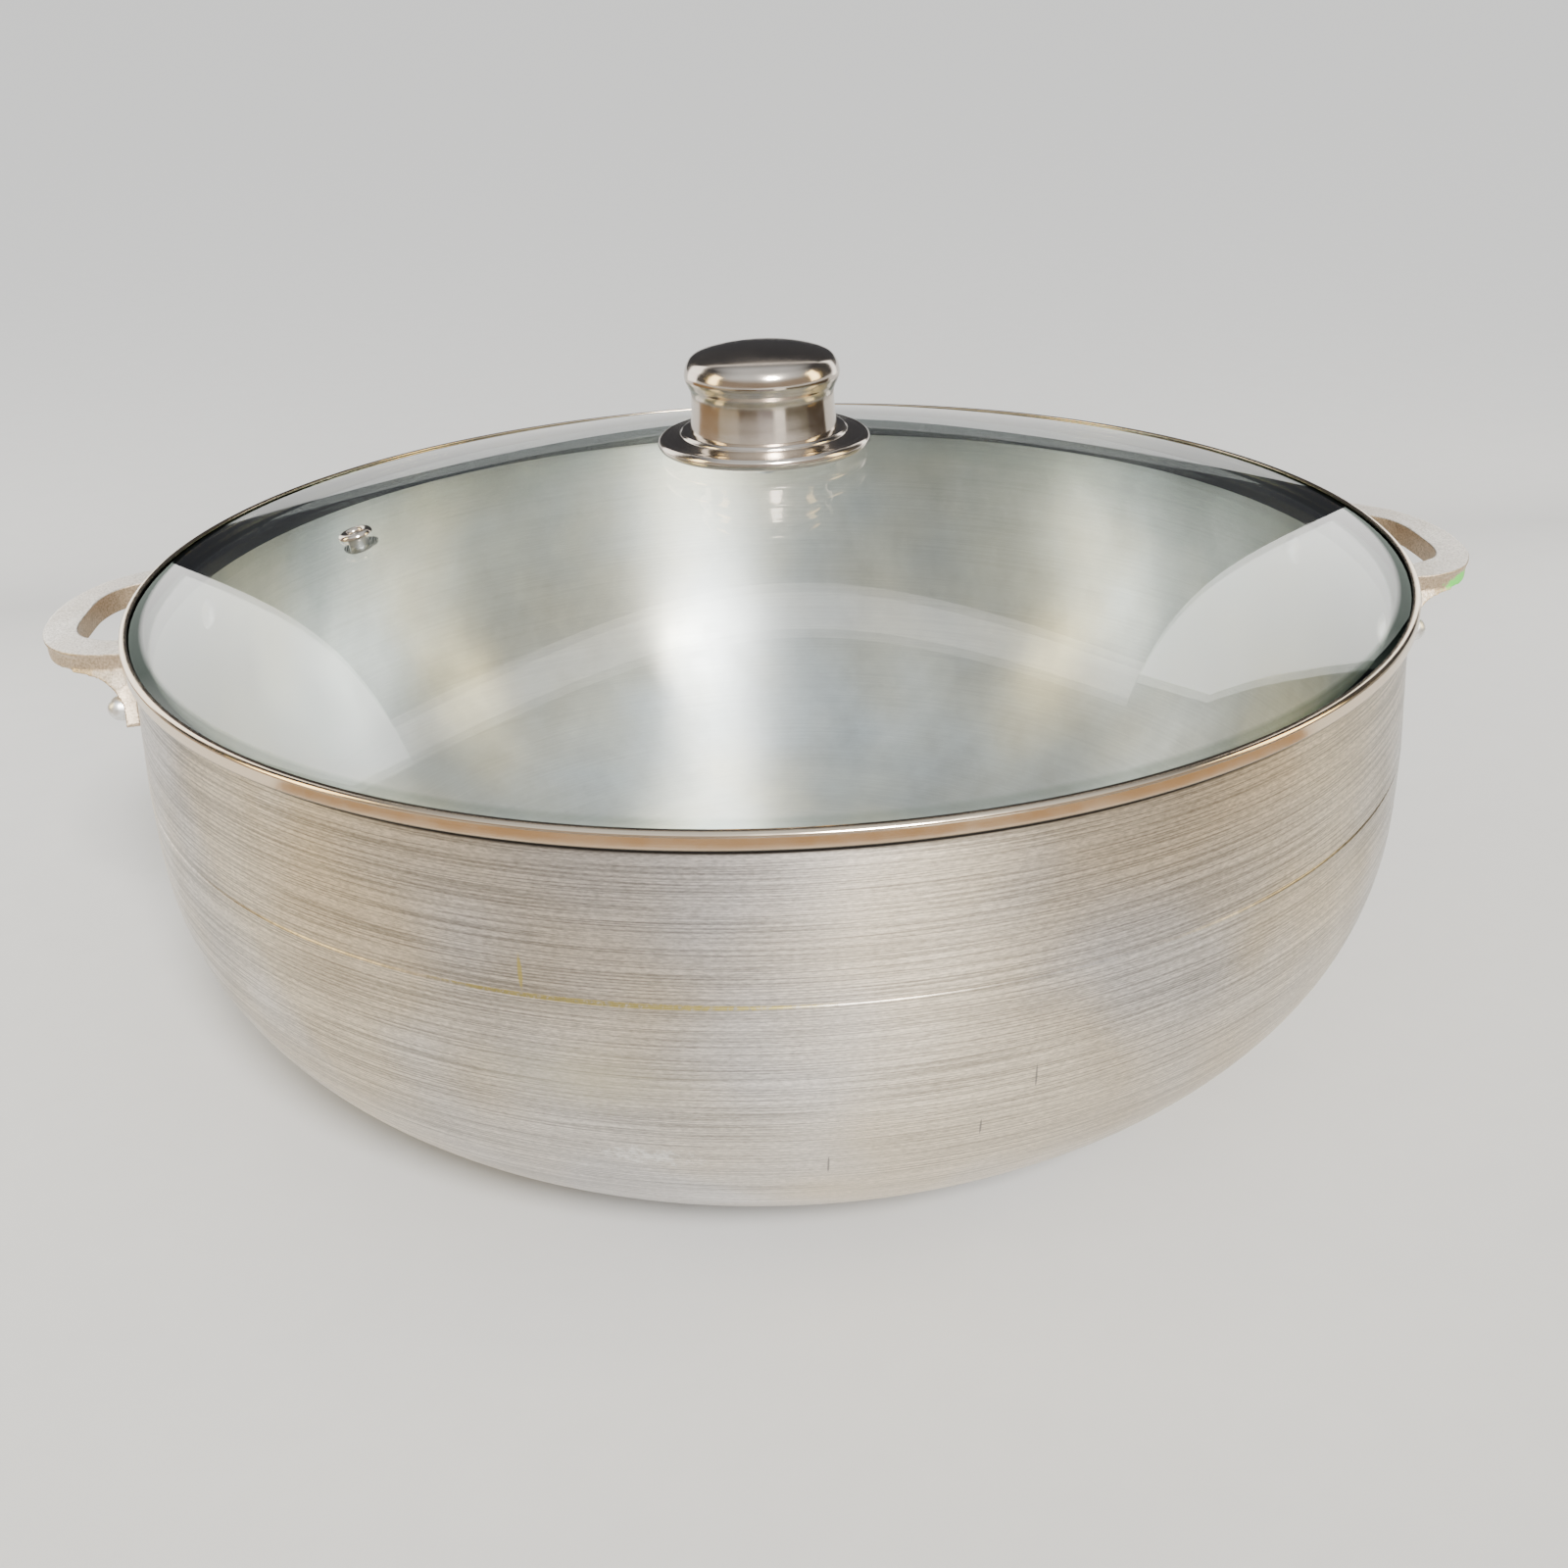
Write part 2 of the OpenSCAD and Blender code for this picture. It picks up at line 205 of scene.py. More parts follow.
def grain(tree, vector, scale, detail=3, rough=0.55):
    """Noise from 0 to 1."""
    links = {"Vector": vector, "Scale": scale, "Detail": detail, "Roughness": rough}
    return node(tree, "TexNoise", links).outputs[0]


def span(tree, value, low, high, out_low=0.0, out_high=1.0):
    """Maps low..high onto out_low..out_high, and stops at the ends."""
    links = {"Value": value, "From Min": low, "From Max": high,
             "To Min": out_low, "To Max": out_high}
    return node(tree, "MapRange", links).outputs[0]


def mixed(tree, factor, a, b, blend="MIX"):
    """A colour between a and b."""
    made = node(tree, "Mix", data_type="RGBA", blend_type=blend)
    for at, value in ((0, factor), (6, a), (7, b)):
        if isinstance(value, bpy.types.NodeSocket):
            tree.links.new(value, made.inputs[at])
        else:
            made.inputs[at].default_value = value
    return made.outputs[2]


def bumped(tree, height, distance, under=None):
    """Relief from a height, laid over the relief under it."""
    links = {"Height": height, "Distance": distance, "Strength": 1.0}
    if under is not None:
        links["Normal"] = under
    return node(tree, "Bump", links).outputs[0]


def surface(name, **values):
    """A new material with its Principled shader; values are the shader's constant inputs."""
    material = bpy.data.materials.new(name)
    material.use_nodes = True
    tree = material.node_tree
    shader = tree.nodes["Principled BSDF"]
    for key, value in values.items():
        shader.inputs[key.replace("_", " ")].default_value = value
    return material, tree, shader


def here(tree):
    """The place on the piece, in metres."""
    return node(tree, "TexCoord").outputs["Object"]


def turned_place(tree, along_axis, around):
    """A vector for marks cut on a lathe: fine along the profile, drawn out round the axis."""
    place = here(tree)
    flat = vector_calc(tree, "MULTIPLY", place, (1, 1, 0)).outputs[0]
    out = vector_calc(tree, "NORMALIZE", flat).outputs[0]
    radius = vector_calc(tree, "LENGTH", flat).outputs["Value"]
    height = node(tree, "SeparateXYZ", {0: place}).outputs[2]
    profile = calc(tree, "MULTIPLY", calc(tree, "ADD", radius, height), along_axis)
    ring = vector_calc(tree, "SCALE", out)
    ring.inputs["Scale"].default_value = around
    lift = node(tree, "CombineXYZ", {2: profile}).outputs[0]
    return vector_calc(tree, "ADD", ring.outputs[0], lift).outputs[0]


def axis_tangent(tree):
    """The way round the Z axis, for highlights that stretch across turned marks."""
    return node(tree, "Tangent", direction_type="RADIAL", axis="Z").outputs[0]


def darker(colour, share):
    return tuple(share * part for part in colour[:3]) + (1,)


def joined(tree, shader, **sockets):
    """Joins sockets to the shader's inputs of the same names."""
    for key, socket in sockets.items():
        tree.links.new(socket, shader.inputs[key.replace("_", " ")])


# --- Materials ---

def spot(tree, place, at, stretch, size, ragged, soft=1.25):
    """1 inside a ragged patch round a point, fading to 0 at soft times its size. The patch is
    an ellipsoid, narrower along an axis where stretch is larger."""
    offset = vector_calc(tree, "SUBTRACT", place, at).outputs[0]
    offset = vector_calc(tree, "MULTIPLY", offset, stretch).outputs[0]
    away = vector_calc(tree, "LENGTH", offset).outputs["Value"]
    edge = calc(tree, "MULTIPLY_ADD", grain(tree, place, 420, 4, 0.65), ragged, away)
    return span(tree, edge, size, size * soft, 1, 0)


def on_wall(degrees, z):
    """A point on the outside of the pot's wall."""
    return (WALL_R * cos(radians(degrees)), WALL_R * sin(radians(degrees)), z)


def stains_and_rim_shade(tree, place, colour):
    """Old marks: residue in the scored line, a drip, a stain, scuffs, nicks; and painted shade at
    the rim.
    """
    def mark(degrees, z, *shape):
        return spot(tree, place, on_wall(degrees, z), *shape)

    def painted(amount, strength, tone):
        return mixed(tree, calc(tree, "MULTIPLY", amount, strength), colour, tone)

    residue = mark(-105, SCORE_Z, (0.016, 0.013, 1), 0.0008, 0.0003)
    flecks = span(tree, grain(tree, place, 900, 3, 0.7), 0.36, 0.50)
    residue = calc(tree, "MULTIPLY", residue, flecks)
    drip = mark(-112, SCORE_Z + 6 * MM, (2.2, 0.5, 0.28), 0.0016, 0.0012)
    stain = mark(-108, SHOULDER_Z - 9 * MM, (0.4, 0.3, 1.1), 0.004, 0.010, 4.5)
    scuff = mark(-104, SHOULDER_Z - 35 * MM, (0.45, 0.12, 1.6), 0.0125, 0.022)
    nick_a = mark(-91, SHOULDER_Z - 38 * MM, (6.5, 0.03, 0.50), 0.0022, 0.0014)
    nick_b = mark(-80, SHOULDER_Z - 30 * MM, (5.5, 0.03, 0.60), 0.0022, 0.0018)
    nick_c = mark(-76, SHOULDER_Z - 16 * MM, (6.5, 0.03, 0.45), 0.0020, 0.0014)
    colour = painted(scuff, 0.55, (0.92, 0.92, 0.90, 1))
    colour = painted(stain, 0.55, (0.58, 0.53, 0.36, 1))
    colour = painted(calc(tree, "MAXIMUM", residue, drip), 0.75, (0.58, 0.48, 0.12, 1))
    nicks = calc(tree, "MAXIMUM", nick_c, calc(tree, "MAXIMUM", nick_a, nick_b))
    colour = painted(nicks, 0.75, (0.16, 0.15, 0.15, 1))
    # painted shade: the top of the wall, under the lid's band, is painted nearly black
    height = node(tree, "SeparateXYZ", {0: place}).outputs[2]
    painted_rim_shade = span(tree, height, RIM_Z - 1.3 * MM, RIM_Z - 0.8 * MM)
    return mixed(tree, painted_rim_shade, colour, (0.05, 0.045, 0.04, 1))


def turned_aluminium(name, tones, cut, streak, smears, spread, rough, marks_and_rim_shade):
    """Cast aluminium finished on a lathe. cut is the depth of its marks, streak their contrast,
    smears the contrast of cloudy patches from use, and spread how far highlights stretch."""
    material, tree, shader = surface(name, Metallic=1.0, Anisotropic=spread)
    shader.inputs["Anisotropic Rotation"].default_value = 0.25
    place = here(tree)
    specks = grain(tree, turned_place(tree, 2400, 110), 1.0, 2, 0.6)
    lines = grain(tree, turned_place(tree, 2600, 3.0), 1.0, 1, 0.5)
    fine = grain(tree, turned_place(tree, 1400, 2.4), 1.0, 2, 0.6)
    broad = grain(tree, turned_place(tree, 360, 1.3), 1.0, 4, 0.6)
    cloud = grain(tree, place, 14, 3, 0.6)
    tall = vector_calc(tree, "MULTIPLY", place, (1, 1, 0.6)).outputs[0]
    patches = grain(tree, tall, 34, 5, 0.7)
    warmth = grain(tree, place, 13, 2, 0.5)
    tint = mixed(tree, span(tree, warmth, 0.40, 0.60), *tones)
    threads = calc(tree, "MULTIPLY", span(tree, lines, 0.40, 0.54, 1 - streak, 1.0),
                   span(tree, specks, 0.35, 0.65, 1 - 0.8 * streak, 1.0))
    streaks = span(tree, fine, 0.35, 0.60, 1 - 0.45 * streak, 1.0)
    bands = span(tree, broad, 0.35, 0.65, 1 - 0.15 * streak, 1.0)
    worn = calc(tree, "ADD", cloud, patches)
    dull = span(tree, worn, 0.75, 1.25, 1 - smears, 1.03)
    shade = calc(tree, "MULTIPLY", calc(tree, "MULTIPLY", streaks, bands),
                 calc(tree, "MULTIPLY", threads, dull))
    scaled = vector_calc(tree, "SCALE", tint)
    tree.links.new(shade, scaled.inputs["Scale"])
    colour = scaled.outputs[0]
    # old marks, and painted shade at the top of the wall
    if marks_and_rim_shade:
        colour = stains_and_rim_shade(tree, place, colour)
    gloss = span(tree, worn, 0.7, 1.3, rough + 0.06, rough - 0.06)
    relief = bumped(tree, broad, cut * 2)
    relief = bumped(tree, fine, cut, under=relief)
    relief = bumped(tree, lines, cut, under=relief)
    joined(tree, shader, Base_Color=colour, Roughness=gloss, Normal=relief,
           Tangent=axis_tangent(tree))
    return material


def cast_aluminium(name, smear_at=None):
    """Sand-cast metal, with painted shade: faces that turn away from straight up are painted darker
    and warmer than its top.
    """
    material, tree, shader = surface(name, Metallic=1.0)
    place = here(tree)
    sand = grain(tree, place, 1500, 3, 0.7)
    lumps = grain(tree, place, 380, 3, 0.6)
    cloud = grain(tree, place, 60, 3, 0.6)
    pit, crest = (0.52, 0.475, 0.42, 1), (1.0, 0.955, 0.89, 1)
    colour = mixed(tree, span(tree, sand, 0.34, 0.62), pit, crest)
    colour = mixed(tree, span(tree, cloud, 0.35, 0.7, 0, 0.35), colour, (0.74, 0.66, 0.56, 1))
    # painted shade: the more a face turns from straight up, the darker and warmer it is painted
    facing = node(tree, "SeparateXYZ", {0: node(tree, "NewGeometry").outputs["Normal"]}).outputs[2]
    painted_flank_shade = span(tree, facing, 0.55, 0.85, 1, 0)
    colour = mixed(tree, painted_flank_shade, colour, (0.72, 0.63, 0.52, 1), "MULTIPLY")
    rough = span(tree, cloud, 0.3, 0.7, 0.44, 0.56)
    if smear_at is not None:
        smear = spot(tree, place, smear_at, (0.9, 0.55, 2.4), 0.0095, 0.010)
        colour = mixed(tree, smear, colour, (0.10, 0.55, 0.07, 1))
        joined(tree, shader, Metallic=calc(tree, "SUBTRACT", 1.0, smear))
    relief = bumped(tree, lumps, 0.20 * MM)
    relief = bumped(tree, sand, 0.12 * MM, under=relief)
    joined(tree, shader, Base_Color=colour, Roughness=rough, Normal=relief)
    return material


def rivet_metal():
    """Soft aluminium, hammered and lightly stained."""
    material, tree, shader = surface("rivet_aluminium", Metallic=1.0)
    place = here(tree)
    blows = grain(tree, place, 320, 2, 0.5)
    stain = grain(tree, place, 900, 3, 0.6)
    colour = mixed(tree, span(tree, stain, 0.35, 0.7), (0.88, 0.89, 0.90, 1), (0.66, 0.66, 0.64, 1))
    rough = span(tree, blows, 0.3, 0.7, 0.34, 0.5)
    joined(tree, shader, Base_Color=colour, Roughness=rough, Normal=bumped(tree, blows, 0.15 * MM))
    return material


def bright_steel(name, tone, rough, scratch_depth, spread=0.0, shade_below_z=None):
    """Polished stainless steel with hairlines round its axis. Below the given height it is painted
    nearly black as shade.
    """
    material, tree, shader = surface(name, Metallic=1.0, Anisotropic=spread)
    shader.inputs["Anisotropic Rotation"].default_value = 0.25
    hairlines = grain(tree, turned_place(tree, 2600, 3.0), 1.0, 4, 0.6)
    smudge = grain(tree, here(tree), 90, 3, 0.6)
    colour = mixed(tree, span(tree, hairlines, 0.35, 0.65, 0, 0.6), tone, darker(tone, 0.90))
    gloss = span(tree, smudge, 0.35, 0.7, rough, rough * 1.7)
    if shade_below_z is not None:
        # painted shade: below the given height, under the band's hem and on its skirt, the steel is
        # painted nearly black
        height = node(tree, "SeparateXYZ", {0: here(tree)}).outputs[2]
        painted_hem_shade = span(tree, height, shade_below_z, shade_below_z + 0.3 * MM, 1, 0)
        colour = mixed(tree, painted_hem_shade, colour, (0.035, 0.033, 0.03, 1))
    relief = bumped(tree, hairlines, scratch_depth)
    joined(tree, shader, Base_Color=colour, Roughness=gloss, Normal=relief,
           Tangent=axis_tangent(tree))
    return material


def clear_glass():
    """A pane that lets light straight through, mirrors more at a slant, is greener at its rim and
    has painted shade there.
    """
    material = bpy.data.materials.new("lid_glass")
    material.use_nodes = True
    tree = material.node_tree
    tree.nodes.remove(tree.nodes["Principled BSDF"])
    output = tree.nodes["Material Output"]
    back = node(tree, "NewGeometry").outputs["Backfacing"]
    ratio = span(tree, back, 0, 1, 1.5, 1 / 1.5)
    mirror = node(tree, "Fresnel", {"IOR": ratio}).outputs[0]
    place = here(tree)
    flat = vector_calc(tree, "MULTIPLY", place, (1, 1, 0)).outputs[0]
    radius = vector_calc(tree, "LENGTH", flat).outputs["Value"]
    slant = span(tree, mirror, 0.08, 0.6)
    tint = mixed(tree, slant, (0.985, 0.992, 0.988, 1), (0.90, 0.955, 0.93, 1))
    edge = span(tree, radius, GLASS_R - 6.5 * MM, GLASS_R - 5 * MM)
    tint = mixed(tree, edge, tint, (0.86, 0.90, 0.87, 1))
    smudge = grain(tree, place, 26, 4, 0.6)
    haze = span(tree, smudge, 0.45, 0.75, 0.0, 0.06)
    # painted shade at the rim: where the pane is seen at a slant, its tint and its mirror are
    # darkened
    rim_shade = calc(tree, "MULTIPLY", edge, span(tree, mirror, 0.05, 0.16))
    tint = mixed(tree, rim_shade, tint, (0.18, 0.23, 0.20, 1))
    shine = mixed(tree, rim_shade, (1, 1, 1, 1), (0.22, 0.26, 0.24, 1))
    clear = node(tree, "BsdfTransparent", {"Color": tint}).outputs[0]
    gloss = node(tree, "BsdfAnisotropic", {"Color": shine, "Roughness": haze}).outputs[0]
    made = node(tree, "MixShader", {0: mirror, 1: clear, 2: gloss}).outputs[0]
    tree.links.new(made, output.inputs["Surface"])
    return material


def soft_pad(name, colour, rough):
    """Moulded silicone or resin, faintly mottled."""
    material, tree, shader = surface(name, Metallic=0.0)
    mottle = grain(tree, here(tree), 300, 3, 0.6)
    tone = mixed(tree, span(tree, mottle, 0.3, 0.7), darker(colour, 0.8), colour)
    gloss = span(tree, mottle, 0.3, 0.7, rough - 0.05, rough + 0.08)
    joined(tree, shader, Base_Color=tone, Roughness=gloss, Normal=bumped(tree, mottle, 0.05 * MM))
    return material


def machined_metal(name, colour, rough):
    """A small turned part, with tool marks square to its axis."""
    material, tree, shader = surface(name, Metallic=1.0)
    marks = grain(tree, turned_place(tree, 3000, 2.0), 1.0, 3, 0.6)
    tone = mixed(tree, span(tree, marks, 0.3, 0.7), darker(colour, 0.8), colour)
    gloss = span(tree, marks, 0.3, 0.7, rough - 0.05, rough + 0.08)
    joined(tree, shader, Base_Color=tone, Roughness=gloss, Normal=bumped(tree, marks, 0.03 * MM))
    return material


def pale_floor():
    """Matt, faintly mottled paper."""
    material, tree, shader = surface("floor_paper", Roughness=0.7)
    fibre = grain(tree, here(tree), 60, 3, 0.6)
    tone = mixed(tree, fibre, (0.50, 0.50, 0.495, 1), (0.53, 0.53, 0.525, 1))
    joined(tree, shader, Base_Color=tone)
    return material


def glow(name, colour, strength):
    """A card's even light."""
    material = bpy.data.materials.new(name)
    material.use_nodes = True
    tree = material.node_tree
    tree.nodes.remove(tree.nodes["Principled BSDF"])
    made = node(tree, "Emission", {"Color": colour, "Strength": strength}).outputs[0]
    tree.links.new(made, tree.nodes["Material Output"].inputs["Surface"])
    return material


def dress(name, material):
    """Gives a CAD node that stays in view a better material."""
    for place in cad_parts[name].material_slots:
        place.link = "OBJECT"
        place.material = material


# --- Pieces ---

def make_pot():
    """The cast pot: scored and turned outside, rounded rim, smoother inside."""
    score = 0.5 * MM
    lean = (WALL_R - RIM_R) / (RIM_Z - SCORE_Z)
    outside = [(0, 0)] + line((BASE_R * 0.5, 0), (BASE_R - 1.5 * MM, 0), 3)
    outside += lower_wall(BASE_R, WALL_R, 0, SHOULDER_Z, 72)
    outside += line((WALL_R, SHOULDER_Z + 3 * MM), (WALL_R, SCORE_Z - score), 4)
    outside += arc(WALL_R, SCORE_Z, score, 250, 110, 6)
    outside += line((WALL_R - lean * score, SCORE_Z + score), (RIM_R, RIM_Z - RIM_ROUND), 16)
    outside += arc(RIM_R - RIM_ROUND, RIM_Z - RIM_ROUND, RIM_ROUND, 10, 90, 6)
    inside = arc(RIM_R - WALL_T + RIM_ROUND, RIM_Z - RIM_ROUND, RIM_ROUND, 90, 180, 6)
    inside += line((RIM_R - WALL_T, RIM_Z - 3 * MM), (WALL_R - WALL_T, SCORE_Z), 12)
    inside += lower_wall(BASE_R - 2.5 * MM, WALL_R - WALL_T, FLOOR_T, SHOULDER_Z, 72)[::-1]
    inside += line((BASE_R * 0.93, FLOOR_T), (0, FLOOR_T), 8)
    mesh = lathe("pot_shell", outside + inside, TURNS, inner_from=len(outside))
    outside_tones = (0.91, 0.875, 0.85, 1), (0.92, 0.81, 0.65, 1)
    inside_tones = (0.86, 0.90, 0.91, 1), (0.96, 0.93, 0.81, 1)
    mesh.materials.append(turned_aluminium(
        "turned_outside", outside_tones, cut=0.014 * MM, streak=0.40, smears=0.12, spread=0.76,
        rough=0.38, marks_and_rim_shade=True))
    mesh.materials.append(turned_aluminium(
        "turned_inside", inside_tones, cut=0.006 * MM, streak=0.08, smears=0.26, spread=0.94,
        rough=0.36, marks_and_rim_shade=False))
    finished("pot_shell", mesh, "pot", "turned_aluminium", "pot_body")


def make_handle(side, material):
    """A cast loop handle: the CAD form with its edges rounded as a mould leaves them."""
    name = "handle_" + side
    cast = bpy.data.objects.new("cast_" + name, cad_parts[name].data.copy())
    bpy.context.scene.collection.objects.link(cast)
    remesh = cast.modifiers.new("skin", "REMESH")
    remesh.mode = "VOXEL"
    remesh.voxel_size = 0.36 * MM
    worn = cast.modifiers.new("wear", "SMOOTH")
    worn.factor = 0.5
    worn.iterations = 2
    mesh = applied(cast)
    bpy.data.objects.remove(cast)
    places = [0.0] * (3 * len(mesh.vertices))
    outward = places[:]
    mesh.vertices.foreach_get("co", places)
    mesh.vertex_normals.foreach_get("vector", outward)
    for k in range(0, len(places), 3):
        place = Vector(places[k:k + 3])
        worn_by = (noise.noise(place * 130) * 0.10 + 0.06) * MM
        places[k:k + 3] = place - Vector(outward[k:k + 3]) * worn_by
    mesh.vertices.foreach_set("co", places)
    mesh.materials.clear()
    mesh.materials.append(material)
    finished(name + "_cast", mesh, "pot", "cast_aluminium", name, sharp=180)


def make_band():
    """The rolled steel strip round the lid's edge."""
    round_r = 1.3 * MM
    low = RIM_Z + 1 * MM
    outline = line((SKIRT_R, SKIRT_LOW), (SKIRT_R, RIM_Z - 0.4 * MM), 5)
    outline += arc(SKIRT_R + 0.4 * MM, RIM_Z - 0.4 * MM, 0.4 * MM, 165, 90, 4)
    outline += smooth([(LID_R - 2.9 * MM, RIM_Z), (LID_R - 2.1 * MM, RIM_Z + 0.15 * MM),
                       (LID_R - 1.5 * MM, low - 0.1 * MM), (LID_R - 0.9 * MM, low)], 5)
    outline += arc(LID_R - 0.5 * MM, low + 0.5 * MM, 0.5 * MM, -75, 0, 6)
    outline += arc(LID_R - round_r, BAND_TOP - round_r, round_r, 0, 90, 14)
    outline += arc(LIP_R + 0.3 * MM, BAND_TOP - 0.3 * MM, 0.3 * MM, 95, 180, 5)
    outline += [(LIP_R, BAND_TOP - STRIP_T), (LIP_R + 0.5 * MM, BAND_TOP - STRIP_T)]
    outline += arc(LID_R - round_r, BAND_TOP - round_r, round_r - STRIP_T, 85, 0, 8)
    outline += [(LID_R - STRIP_T, low + STRIP_T + 0.2 * MM), (LID_R - 0.9 * MM, low + STRIP_T),
                (LID_R - 1.6 * MM, low + STRIP_T), (LID_R - 2.6 * MM, RIM_Z + STRIP_T),
                (SKIRT_R - STRIP_T + 0.5 * MM, RIM_Z + STRIP_T),
                (SKIRT_R - STRIP_T, RIM_Z), (SKIRT_R - STRIP_T, SKIRT_LOW)]
    mesh = lathe("rim_band", outline, TURNS)
    # the band is painted nearly black as shade below low + 0.3 mm, under its hem
    steel = bright_steel("band_steel", (0.78, 0.64, 0.48, 1), 0.13, 0.006 * MM, 0.3, low + 0.3 * MM)
    mesh.materials.append(steel)
    finished("rim_band", mesh, "lid", "band_steel", "lid_rim_band", sharp=50)


def vent_frame():
    """The place and tilt of the steam vent: Z points square out of the glass."""
    centre = (vent_low + vent_high) / 2
    angle = atan2(centre.y, centre.x)
    out = hypot(centre.x, centre.y)
    slope = DOME_K * out / (DOME_SOFT_R ** 2 * sqrt(1 + (out / DOME_SOFT_R) ** 2))
    tilt = Matrix.Rotation(angle, 4, "Z") @ Matrix.Rotation(atan2(slope, 1), 4, "Y")
    # the eyelet's own middle is below the glass, so it is moved up along the tilt to the surface
    tall = (vent_high.z - vent_low.z) / 2
    reach = out + tall * slope * 0.55
    return Matrix.Translation((reach * cos(angle), reach * sin(angle), dome_z(reach))) @ tilt


def make_glass():
    """The domed pane, with ground edges and a hole for the vent."""
    reach = GLASS_R - 0.9 * MM
    steps = 64
    radii = [GLASS_HOLE_R + (reach - GLASS_HOLE_R) * k / steps for k in range(steps + 1)]
    top = [(r, dome_z(r)) for r in radii]
    under = [(r, dome_z(r) - GLASS_T) for r in reversed(radii)]
    edge_z = dome_z(reach) - GLASS_T / 2 - 0.2 * MM
    edge = [(GLASS_R - 0.25 * MM, edge_z + 1.05 * MM), (GLASS_R, edge_z + 0.5 * MM),
            (GLASS_R, edge_z - 0.5 * MM), (GLASS_R - 0.25 * MM, edge_z - 1.05 * MM)]
    mesh = lathe("lid_pane", top + edge + under, TURNS)
    drill_mesh = lathe("drill", [(0, -10 * MM), (3.2 * MM, -10 * MM), (3.2 * MM, 10 * MM),
                                 (0, 10 * MM)], 48)
    drill_mesh.transform(vent_frame())
    drill = bpy.data.objects.new("drill", drill_mesh)
    pane = bpy.data.objects.new("pane", mesh)
    for made in (drill, pane):
        bpy.context.scene.collection.objects.link(made)
    cut = pane.modifiers.new("vent", "BOOLEAN")
    cut.operation = "DIFFERENCE"
    cut.solver = "EXACT"
    cut.object = drill
    mesh = applied(pane)
    for made in (drill, pane):
        bpy.data.objects.remove(made)
    mesh.materials.clear()
    mesh.materials.append(clear_glass())
    finished("lid_pane", mesh, "lid", "lid_glass", "lid_glass")


def make_eyelet(steel):
    """The rolled eyelet in the vent: a bead on top, a tube and a curl underneath."""
    bore, bead, curl = 2.4 * MM, 1.45 * MM, 1.0 * MM
    low = -(GLASS_T + 0.8 * MM)
    outline = arc(bore + bead, 0.15 * MM, bead, 180, 0, 24)
    outline += [(bore + 2 * bead - 0.1 * MM, 0.02 * MM), (3.1 * MM, 0.02 * MM), (3.1 * MM, low)]
    outline += arc(bore + curl, low + 0.1 * MM, curl, 0, -180, 16)
    mesh = lathe("vent_ring", outline, 72, inner_from=26)
    mesh.flip_normals()
    mesh.transform(vent_frame())
    mesh.materials.append(steel)
    mesh.materials.append(machined_metal("vent_tube", (0.55, 0.55, 0.54, 1), 0.45))
    finished("vent_ring", mesh, "lid", "polished_steel", "vent_eyelet", sharp=50)


def make_knob_cap():
    """The pressed steel cap of the knob: neck, soft shoulder and crowned top."""
    high = KNOB_TOP - KNOB_BASE
    neck, waist = CAP_R - 1.2 * MM, CAP_R - 1.9 * MM

    def cap_line(inset):
        # each height is a share of the cap's own
        at = [(neck, 0), (neck - 0.35 * MM, 0.15), (waist, 0.36), (waist + 0.25 * MM, 0.48),
              (CAP_R - 0.75 * MM, 0.56), (CAP_R, 0.655), (CAP_R - 0.9 * MM, 0.79)]
        sides = [(r - inset, KNOB_BASE + share * high) for r, share in at]
        crown = [(CAP_R - 3.4 * MM - inset, 0.885), (0.6 * CAP_R, 0.955), (0.3 * CAP_R, 0.99),
                 (0, 1)]
        return smooth(sides + [(r, KNOB_BASE + share * high - inset) for r, share in crown], 12)

    outer = cap_line(0)
    outer[-1] = (0, KNOB_TOP)
    inner = cap_line(0.8 * MM)[::-1]
    inner[0] = (0, inner[0][1])
    mesh = lathe("knob_shell", outer + inner, SMALL_TURNS)
    mesh.materials.append(bright_steel("knob_steel", (0.62, 0.54, 0.46, 1), 0.12, 0.004 * MM))
    finished("knob_shell", mesh, "knob", "polished_steel", "knob_cap")


def make_flange(steel):
    """The pressed disc under the knob, with a small step and a rolled edge."""
    bead = 1.9 * MM
    bead_r, bead_z = FLANGE_R - bead, KNOB_BASE - 3.9 * MM
    step = CAP_R + 1.4 * MM
    hole = 2.8 * MM
    outline = line((hole, KNOB_BASE), (step - 0.5 * MM, KNOB_BASE), 4)
    outline += smooth([(step, KNOB_BASE - 0.1 * MM), (step + 0.6 * MM, KNOB_BASE - 0.7 * MM),
                       (step + 1.2 * MM, KNOB_BASE - 1.3 * MM),
                       (bead_r - 0.9 * MM, bead_z + bead + 0.1 * MM)], 6)[:-1]
    outline += arc(bead_r, bead_z, bead, 105, -80, 28)
    outline += arc(bead_r, bead_z, bead - 0.8 * MM, -80, 80, 12)
    outline += [(step, KNOB_BASE - 1.9 * MM), (step - 0.6 * MM, KNOB_BASE - 1 * MM),
                (hole, KNOB_BASE - 1 * MM)]
    mesh = lathe("flange_disc", outline, SMALL_TURNS)
    mesh.materials.append(steel)
    finished("flange_disc", mesh, "knob", "polished_steel", "knob_flange", sharp=60)


